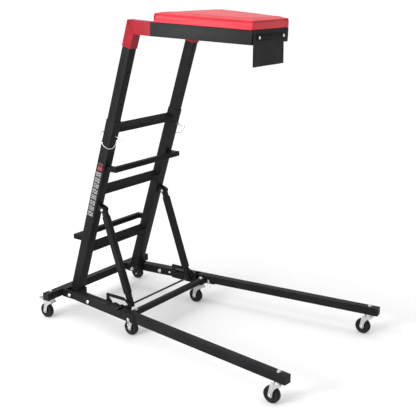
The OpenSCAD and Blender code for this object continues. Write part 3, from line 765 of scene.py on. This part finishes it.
def make_label():
    """Generic hatched blocks and a small red patch printed on the near upright's outer face."""
    face = LADDER @ Matrix.Translation((0, -(UPRIGHT_Y + UPRIGHT_HALF) - 0.00012, 0))
    turn = Matrix.Rotation(math.radians(90), 4, "X")
    place = face @ turn
    grey, red, dark = bmesh.new(), bmesh.new(), bmesh.new()
    low, high = -0.0185, 0.0135
    start, end = 0.458, 0.704
    rows = 8
    pitch = (end - start) / rows
    for k in range(rows):
        base = start + k * pitch
        skew = 0.004
        height = pitch * 0.86
        bars = 3 if k % 2 else 2
        for j in range(bars):
            low_t = base + height * (j + 0.04) / bars
            high_t = base + height * (j + 0.80) / bars
            cut = 0.30 + 0.12 * ((k * 5 + j * 3) % 4)
            middle = low + (high - low) * cut
            for a, b in ((low, middle - 0.0012), (middle + 0.0012, high)):
                outline = [
                    (a, low_t), (b, low_t + skew * (b - a) / 0.03),
                    (b, high_t + skew * (b - a) / 0.03), (a, high_t),
                ]
                prism(grey, outline, -0.00006, 0.00018, place)
    for bm, base, height in ((red, end + 0.003, 0.022), (dark, end + 0.028, 0.016)):
        outline = [(low + 0.001, base), (high - 0.001, base + 0.002),
                   (high - 0.001, base + height), (low + 0.001, base + height - 0.002)]
        prism(bm, outline, -0.00006, 0.00018, place)
    finish_piece("label_blocks", grey, "label_grey", "ladder")
    finish_piece("label_patch", red, "label_red", "ladder")
    finish_piece("label_band", dark, "label_dark", "ladder")


# ---- Bolts, pins and casters ----


def hex_outline(radius, turn=0.0):
    return [
        (radius * math.cos(math.radians(60 * k) + turn), radius * math.sin(math.radians(60 * k) + turn))
        for k in range(6)
    ]


def dome_head(bm, frame, radius, height, flange=0.0):
    """A domed bolt head on a thin flange, standing along local Z."""
    profile = [(0.0, -0.0008), (radius + flange, -0.0008), (radius + flange, 0.0007),
               (radius + flange * 0.4, 0.0012), (radius, 0.0014)]
    for k in range(1, 8):
        angle = math.radians(90 * k / 7)
        profile.append((radius * math.cos(angle), 0.0014 + (height - 0.0014) * math.sin(angle)))
    profile[-1] = (0.0, height)
    lathe(bm, profile, frame, 32)


def hex_nut(bm, frame, radius, height, thread):
    """A chamfered hexagon nut with its washer and the bolt's end."""
    lathe(bm, [(0.0, -0.0002), (radius * 1.12, -0.0002), (radius * 1.16, 0.0003),
               (radius * 1.14, 0.0012), (0.0, 0.0012)], frame, 32)
    prism(bm, hex_outline(radius), 0.0012, height, frame, radius * 0.09)
    lathe(bm, [(0.0, height - 0.001), (thread, height - 0.001), (thread, height + 0.0016),
               (thread * 0.8, height + 0.0024), (0.0, height + 0.0024)], frame, 24)


def facing(place, direction):
    """A frame at a place whose Z axis looks in a direction."""
    turn = Vector(direction).to_track_quat("Z", "X").to_matrix().to_4x4()
    return Matrix.Translation(place) @ turn


def rail_facing(side, place, y, way=1):
    """A frame y outwards from the rail's middle plane at (x, z), looking out (1) or in (-1)."""
    frame = rail_frame(side)
    outward = Vector((0, SIDE_SIGN[side], 0))
    point = Vector((along(place[0]), 0, place[1])) + outward * y
    return facing(frame @ point, frame.to_3x3() @ outward * way)


def make_bolts():
    """The base's bolts: domed heads outside, nuts inside, black rivets at the folding hinges."""
    bright, dark = bmesh.new(), bmesh.new()
    for side in SIDES:
        outward = Vector((0, SIDE_SIGN[side], 0))
        dome_head(bright, facing(PIVOT + outward * 0.288, outward), 0.0086, 0.0055, 0.0012)
        hex_nut(bright, facing(PIVOT + outward * 0.1995, -outward), 0.0088, 0.0075, 0.0045)
        rod(bright, facing(PIVOT + outward * 0.200, outward), 0.005, 0, 0.0875)
        dome_head(bright, rail_facing(side, RAIL_BOLT, 0.022), 0.0086, 0.0052, 0.0012)
        hex_nut(bright, rail_facing(side, RAIL_BOLT, -0.022, -1), 0.0088, 0.0058, 0.0045)
        rod(bright, rail_facing(side, RAIL_BOLT, -0.0215), 0.0049, 0, 0.043)
        for way in (1, -1):
            dome_head(dark, rail_facing(side, FOLD_RIVET, way * 0.022, way), 0.0070, 0.0026, 0.0004)
        rod(dark, rail_facing(side, FOLD_RIVET, -0.0215), 0.0049, 0, 0.043)
        dome_head(bright, rail_facing(side, TAB_BOLT, -0.026, -1), 0.0052, 0.0034, 0.0008)
        rod(bright, rail_facing(side, TAB_BOLT, -0.0262), 0.0029, 0, 0.0118, steps=20)
    finish_piece("frame_bolts_bright", bright, "bolt", "base",
                 ["frame_bolts"], sharp=38)
    finish_piece("fold_rivets", dark, "frame", "base", sharp=38)


def make_deck_bolts():
    bm = bmesh.new()
    x, y, z = DECK_BOLT
    for sign in (1, -1):
        place = Vector((x, sign * y, z))
        dome_head(bm, facing(place, (1, 0, 0)), 0.0062, 0.0036, 0.0006)
        rod(bm, facing(place, (-1, 0, 0)), 0.0029, 0, 0.016, steps=20)
    finish_piece("deck_bolt_heads", bm, "bolt", "upper_frame",
                 ["deck_bolts"], sharp=38)


def make_small_parts():
    for side in SIDES:
        softened(f"leg_stem_{side}", "zinc", 0.6 * MM)
        sign = SIDE_SIGN[side]
        through_leg = rail_frame(side) @ facing((along(LEG_PIN[0]), 0, LEG_PIN[1]), (0, 1, 0))
        softened(f"leg_pin_{side}", "bolt", 0.6 * MM,
                 shank=(through_leg, PIN_R, -RAIL_HALF, RAIL_HALF))
        through_tube = LADDER @ facing((0, sign * UPRIGHT_Y, HEIGHT_PIN_T), (1, 0, 0))
        softened(f"height_pin_{side}", "bolt", 0.5 * MM,
                 shank=(through_tube, PIN_R, -UPRIGHT_HALF, UPRIGHT_HALF))
    softened("caster_stems", "zinc", 0.6 * MM)
    softened("strut_bolts", "bolt", 0.9 * MM)
    softened("pivot_spacers", "oxide", 0.6 * MM)
    softened("lock_rod", "oxide", 0.8 * MM)


def axle_of(node):
    low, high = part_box(node)
    return (Vector(low) + Vector(high)) / 2


def make_wheel(node):
    """A rubber tyre with moulding lines on a ribbed plastic hub."""
    body = body_of(node)
    frame = facing(axle_of(node), (0, 1, 0))
    tyre = bmesh.new()
    side = [(0.0262, 0.0098), (0.0270, 0.0106), (0.0290, 0.0112), (0.0300, 0.0109), (0.0310, 0.0113),
            (0.0330, 0.0117), (0.0352, 0.0110), (0.0368, 0.0092), (0.0376, 0.0066), (0.0379, 0.0035)]
    profile = side + [(0.03795, 0.0006), (0.0380, 0.0003), (0.0380, -0.0003), (0.03795, -0.0006)]
    profile += [(r, -h) for r, h in reversed(side)]
    ring(tyre, profile, frame, 72)
    finish_piece(node + "_tyre", tyre, "tyre", body,
                 [node], sharp=28)
    hub = bmesh.new()
    half = [(0.0042, 0.0119), (0.0085, 0.0119), (0.0096, 0.0110), (0.0102, 0.0070), (0.0120, 0.0052),
            (0.0215, 0.0052), (0.0232, 0.0066), (0.0240, 0.0096), (0.0258, 0.0098), (0.0262, 0.0094)]
    profile = half + [(r, -h) for r, h in reversed(half)]
    ring(hub, profile, frame, 56)
    for k in range(5):
        spin = frame @ Matrix.Rotation(math.radians(72 * k), 4, "Z")
        for way in (1, -1):
            low, high = sorted((way * 0.0046, way * 0.0085))
            prism(hub, rectangle((0.0092, -0.0012), (0.0236, 0.0012)), low, high, spin, 0.0004)
    finish_piece(node + "_hub", hub, "hub", body, sharp=28)


def make_fork(node, wheel):
    """The stamped fork with its ball race and axle nuts."""
    body = body_of(node)
    softened(node, "zinc", 0.55 * MM)
    bm = bmesh.new()
    axle = axle_of(wheel)
    for way in (1, -1):
        hex_nut(bm, facing(axle + Vector((0, way * 0.0166, 0)), (0, way, 0)), 0.0072, 0.0042, 0.0036)
    stem = Vector((axle.x + 0.031, axle.y, 0))
    race = [(0.0185, 0.0992), (0.0197, 0.0990), (0.0203, 0.0998), (0.0203, 0.1008),
            (0.0196, 0.1016), (0.0185, 0.1014)]
    lathe(bm, race + [race[0]], Matrix.Translation(stem), 56)
    bmesh.ops.remove_doubles(bm, verts=bm.verts, dist=1e-6)
    finish_piece(node + "_fittings", bm, "bolt", body, sharp=38)


def make_casters():
    for place in PLACES:
        for side in SIDES:
            make_wheel(f"wheel_{place}_{side}")
            make_fork(f"fork_{place}_{side}", f"wheel_{place}_{side}")
    for side in SIDES:
        softened(f"brake_rear_{side}", "lever", 0.6 * MM)


# ---- Pad and apron ----

PAD_REAR = 0.1422
BOARD_T = 0.009
PAD_TOP = 0.041
PAD_SEAM = 0.0335
PAD_CAP = 0.007
PAD_SIDE = 0.0012
SEAM_DEPTH = 0.0028
PAD_MIDDLE = PAD_REAR + 0.22
RIM_GIVE = 0.0004
RIM_SINK = 0.0001
STAPLE = rectangle((-0.005, -0.0006), (0.005, 0.0006))
CROSS_STAPLE = rectangle((-0.0006, -0.005), (0.0006, 0.005))


def pad_plan(u, v, inset):
    """A place in the deck's plane: u from rear 0 to front 1, v from right -1 to left 1."""
    s_low, s_high = PAD_REAR + inset, DECK_END - inset
    s = s_low + (s_high - s_low) * u
    half = deck_y(s) - inset
    y = half * v
    for corner_s, radius in ((s_low, 0.006), (s_high, 0.005)):
        radius = max(radius - inset, 0.002)
        a, b = abs(s - corner_s), half - abs(y)
        if a < radius and b < radius:
            p, q = (radius - a) / radius, (radius - b) / radius
            p, q = p * math.sqrt(1 - q * q / 2), q * math.sqrt(1 - p * p / 2)
            a, b = radius * (1 - p), radius * (1 - q)
            s = corner_s + a * (1 if corner_s == s_low else -1)
            y = math.copysign(half - b, y)
    return s, y


def grid_steps(count, ends):
    """Steps from 0 to 1 with closer spacing over the first and last stretch."""
    steps = [0.0, ends * 0.25, ends * 0.5, ends * 0.75]
    steps += [ends + (1 - 2 * ends) * k / count for k in range(count + 1)]
    return steps + [1 - ends * 0.75, 1 - ends * 0.5, 1 - ends * 0.25, 1.0]


def pad_cage():
    """The pad's closed mesh and, per row, the loop of its vertex indices round the sides."""
    us = grid_steps(50, 0.040)
    vs = [2 * v - 1 for v in grid_steps(52, 0.036)]
    bm = bmesh.new()

    def sheet_of(inset, z):
        return [[bm.verts.new((*pad_plan(u, v, inset), z)) for v in vs] for u in us]

    def rim(grid):
        last_u, last_v = len(us) - 1, len(vs) - 1
        loop = [grid[i][0] for i in range(last_u)] + [grid[last_u][j] for j in range(last_v)]
        loop += [grid[i][last_v] for i in range(last_u, 0, -1)]
        return loop + [grid[0][j] for j in range(last_v, 0, -1)]

    def skin(grid, flip):
        for i in range(len(us) - 1):
            for j in range(len(vs) - 1):
                quad = [grid[i][j], grid[i + 1][j], grid[i + 1][j + 1], grid[i][j + 1]]
                bm.faces.new(quad[::-1] if flip else quad)

    top = sheet_of(0.0080, PAD_TOP - 0.0002)
    bottom = sheet_of(0.0063, BOARD_T + 0.0001)
    skin(top, False)
    skin(bottom, True)
    corners = [0, len(us) - 1, len(us) + len(vs) - 2, 2 * len(us) + len(vs) - 3]
    count = 2 * (len(us) + len(vs) - 2)
    rows = [rim(top)]
    levels = [
        (0.0040, PAD_TOP - 0.0008), (0.0020, PAD_TOP - 0.0022), (PAD_SIDE, PAD_TOP - 0.0042),
        (PAD_SIDE, PAD_SEAM), (PAD_SIDE, 0.0285), (PAD_SIDE, 0.0235), (PAD_SIDE, 0.0185),
        (PAD_SIDE, 0.0135), (PAD_SIDE, 0.0085), (PAD_SIDE, 0.0040), (0.0016, 0.0014),
        (0.0030, 0.0006), (0.0050, 0.0006), (0.0061, 0.0014),
    ]
    plan = [(u, vs[0]) for u in us[:-1]] + [(1.0, v) for v in vs[:-1]]
    plan += [(u, vs[-1]) for u in us[:0:-1]] + [(0.0, v) for v in vs[:0:-1]]
    for inset, z in levels:
        rows.append([bm.verts.new((*pad_plan(u, v, inset), z)) for u, v in plan])
    rows.append(rim(bottom))
    for upper, lower in zip(rows, rows[1:]):
        for k in range(count):
            after = (k + 1) % count
            bm.faces.new([upper[k], upper[after], lower[after], lower[k]][::-1])
    bm.verts.index_update()
    loops = [[v.index for v in row] for row in rows]
    return mesh_from(bm, "pad_cushion"), loops, corners


def swell(piece, pinned):
    """Inflates a closed mesh by cloth simulation and returns the simulated positions."""
    group = piece.vertex_groups.new(name="held")
    group.add(pinned, 1.0, "REPLACE")
    cloth = piece.modifiers.new("cloth", "CLOTH")
    settings = cloth.settings
    settings.quality = 6
    settings.mass = 0.25
    settings.tension_stiffness = 22
    settings.compression_stiffness = 22
    settings.shear_stiffness = 12
    settings.bending_stiffness = 1.2
    settings.use_pressure = True
    settings.uniform_pressure_force = 4.0
    settings.effector_weights.gravity = 0
    settings.vertex_group_mass = "held"
    cloth.collision_settings.use_collision = False
    scene = bpy.context.scene
    for moment in range(1, 21):
        scene.frame_set(moment)
    view = bpy.context.evaluated_depsgraph_get()
    result = piece.evaluated_get(view).to_mesh()
    places = [v.co.copy() for v in result.vertices]
    piece.evaluated_get(view).to_mesh_clear()
    piece.modifiers.remove(cloth)
    piece.vertex_groups.remove(group)
    scene.frame_set(1)
    return places


def stretch_of(place, move):
    """A simulated move as the glued and stapled cover lets it happen: the rim hardly gives."""
    if place.z < BOARD_T + 0.001:
        return Vector()
    if move.length > PAD_CAP:
        move = move * (PAD_CAP / move.length)
    away = Vector((place.x - PAD_MIDDLE, place.y, 0)).normalized()
    drawn_in = -move.dot(away)
    if drawn_in > RIM_GIVE:
        move = move + away * (drawn_in - RIM_GIVE)
    return Vector((move.x, move.y, max(move.z, -RIM_SINK)))


def make_pad():
    mesh, loops, corners = pad_cage()
    piece = bpy.data.objects.new("pad_cushion", mesh)
    bpy.context.scene.collection.objects.link(piece)
    start = [v.co.copy() for v in mesh.vertices]
    held = [v.index for v in mesh.vertices if v.co.z < BOARD_T + 0.001]
    places = swell(piece, held)
    moved = [before + stretch_of(before, after - before) for before, after in zip(start, places)]
    outward = {}
    for row in loops[3:6]:
        count = len(row)
        for k in range(count):
            ahead = moved[row[(k + 1) % count]] - moved[row[k - 1]]
            outward[row[k]] = Vector((ahead.y, -ahead.x, 0)).normalized()
    centre = Vector((PAD_MIDDLE, 0, 0))
    for index, way in outward.items():
        if way.dot(moved[index] - centre) < 0:
            outward[index] = -way
    seam = loops[4]
    for index in seam:
        moved[index] -= outward[index] * SEAM_DEPTH
    for vertex, place in zip(mesh.vertices, moved):
        vertex.co = DECK @ place
    mesh.update()
    smooth = piece.modifiers.new("smooth", "SUBSURF")
    smooth.levels = smooth.render_levels = 1
    view = bpy.context.evaluated_depsgraph_get()
    refined = bpy.data.meshes.new_from_object(piece.evaluated_get(view))
    piece.modifiers.remove(smooth)
    piece.data = refined
    refined.name = "pad_cushion"
    paint_all(piece, "vinyl")
    refined.shade_smooth()
    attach(piece, "upper_frame")
    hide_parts("pad")
    make_welt(moved, outward, loops, corners)


def make_welt(moved, outward, loops, corners):
    """The piped seam round the pad and down its four corners."""
    seam = loops[4]
    welt = bmesh.new()
    path = [DECK @ (moved[i] + outward[i] * 0.0016) for i in seam]
    sweep(welt, resample(path, 0.0042, True), 0.0018, 10, True)
    for corner in corners:
        column = [moved[loops[row][corner]] for row in range(4, 12)]
        away = Vector((column[2].x - PAD_MIDDLE, column[2].y, 0)).normalized()
        path = [DECK @ (p + away * 0.0003) for p in column]
        sweep(welt, resample(path, 0.002), 0.0013, 8, False,
              lambda k: 1 + 0.06 * math.sin(k * 2.1))
    # The welt's darker red is painted shade along the seam and down the corners.
    finish_piece("pad_welt", welt, "seam_shade_piping", "upper_frame", sharp=80)


def make_board():
    """The plywood board with broken edges and the vinyl turned under it and stapled."""
    rolled("deck_board", "ply", 0.8 * MM, shortest=0.02, inner=0)
    flap, staples = bmesh.new(), bmesh.new()
    inside = 0.030
    for sign in (1, -1):
        low, high = 0.152, DECK_END - 0.031
        steps = 30
        edge = []
        for k in range(steps + 1):
            s = low + (high - low) * k / steps
            fray = 0.0012 * noise.noise(Vector((s * 60, sign, 0)))
            edge.append((s, sign * (deck_y(s) - inside - 0.016 + fray)))
        outer = [(s, sign * (deck_y(s) - inside - 0.0006)) for s, _ in edge]
        prism(flap, (edge + outer[::-1])[::sign], -0.0009, -0.0001, DECK)
        for k in range(2, steps, 3):
            s, y = edge[k]
            place = DECK @ Matrix.Translation((s, y + sign * 0.006, -0.0009))
            turn = place @ Matrix.Rotation(math.radians(8 * math.sin(k)), 4, "Z")
            prism(staples, STAPLE, -0.0006, 0.0003, turn, 0.0002)
    rear_flap = (0.1485, 0.168, deck_y(0.15) - 0.032)
    front_flap = (DECK_END - 0.046, DECK_END - 0.0306, 0.125)
    for s0, s1, half in (rear_flap, front_flap):
        prism(flap, rectangle((s0, -half), (s1, half)), -0.0017, -0.0009, DECK)
        for k in range(9):
            y = -half * 0.88 + 1.76 * half * k / 8
            place = DECK @ Matrix.Translation(((s0 + s1) / 2, y, -0.0017))
            prism(staples, CROSS_STAPLE, -0.0006, 0.0003, place, 0.0002)
    finish_piece("pad_turn_under", flap, "vinyl", "upper_frame")
    finish_piece("pad_staples", staples, "bolt", "upper_frame")


APRON_BACK = 0.3794
APRON_T = 0.0015
APRON_TOP = 1.450
APRON_DROP = 0.130
HEM_T = 0.0009


def apron_at(u, v):
    """A place on the apron's mid surface: u from right 0 to left 1, v from top 0 to bottom 1."""
    right = -0.1370 - 0.0090 * v
    left = 0.1030 - 0.0010 * v
    y = right + (left - right) * u
    z = APRON_TOP - APRON_DROP * v
    loose = max(0.0, (v - 0.22) / 0.78)
    wave = 0.5 + 0.5 * math.sin(2 * math.pi * (1.35 * u + 0.12) + 0.8 * v)
    ripple = 0.5 + 0.5 * noise.noise(Vector((u * 3.1, v * 1.7, 4.2)))
    x = APRON_BACK + APRON_T / 2 + loose ** 1.6 * (0.0026 * wave + 0.0016 * ripple)
    return Vector((x, y, z))


def thick_sheet(bm, at, us, vs, thickness):
    """A closed sheet of even thickness over the surface at(u, v)."""
    front, back = [], []
    for v in vs:
        front_row, back_row = [], []
        for u in us:
            place = at(u, v)
            step = 0.004
            du = at(min(1, u + step), v) - at(max(0, u - step), v)
            dv = at(u, min(1, v + step)) - at(u, max(0, v - step))
            normal = du.cross(dv).normalized()
            if normal.x < 0:
                normal.negate()
            front_row.append(bm.verts.new(place + normal * thickness / 2))
            back_row.append(bm.verts.new(place - normal * thickness / 2))
        front.append(front_row)
        back.append(back_row)
    rows, columns = len(vs), len(us)
    for i in range(rows - 1):
        for j in range(columns - 1):
            bm.faces.new([front[i][j], front[i + 1][j], front[i + 1][j + 1], front[i][j + 1]])
            bm.faces.new([back[i][j], back[i][j + 1], back[i + 1][j + 1], back[i + 1][j]])
    rim = [(i, 0) for i in range(rows - 1)] + [(rows - 1, j) for j in range(columns - 1)]
    rim += [(i, columns - 1) for i in range(rows - 1, 0, -1)]
    rim += [(0, j) for j in range(columns - 1, 0, -1)]
    for (i, j), (k, l) in zip(rim, rim[1:] + rim[:1]):
        bm.faces.new([front[i][j], back[i][j], back[k][l], front[k][l]])


def make_apron():
    bm = bmesh.new()
    us = [k / 60 for k in range(61)]
    vs = [k / 32 for k in range(33)]
    thick_sheet(bm, apron_at, us, vs, 0.0012)
    apron = finish_piece("apron_panel", bm, "apron", "upper_frame", ["apron"], 50)
    hems = bmesh.new()
    width, inset = 0.045, 0.085
    lift = Vector((0.0008, 0, 0))

    def lifted(u, v):
        return apron_at(u, v) + lift

    across = [k / 4 for k in range(5)]
    middle = 1 - 2 * width
    thick_sheet(hems, lambda a, b: lifted(a * width, b), across, vs, HEM_T)
    thick_sheet(hems, lambda a, b: lifted(1 - (1 - a) * width, b), across, vs, HEM_T)
    thick_sheet(hems, lambda a, b: lifted(width + a * middle, 1 - (1 - b) * inset),
                us, across, HEM_T)
    hem = finish_piece("apron_hem", hems, "hem", "upper_frame")
    stitches = bmesh.new()
    out = Vector((0.0013, 0, 0))

    def stitch(start, end):
        sweep(stitches, [apron_at(*start) + out, apron_at(*end) + out], 0.00035, 5)

    for k in range(26):
        v = 0.02 + 0.96 * k / 26
        for u in (width * 0.82, 1 - width * 0.82):
            stitch((u, v), (u, v + 0.5 / 26))
    for k in range(50):
        u = width + middle * k / 50
        v = 1 - inset * 0.84
        stitch((u, v), (u + 0.5 / 50 * middle, v))
    thread = finish_piece("apron_stitches", stitches, "hem", "upper_frame")


def main():
    add_camera()
    add_studio()
    make_frame()
    make_welds()
    make_treads()
    make_label()
    make_bolts()
    make_deck_bolts()
    make_small_parts()
    make_casters()
    make_pad()
    make_board()
    make_apron()


main()
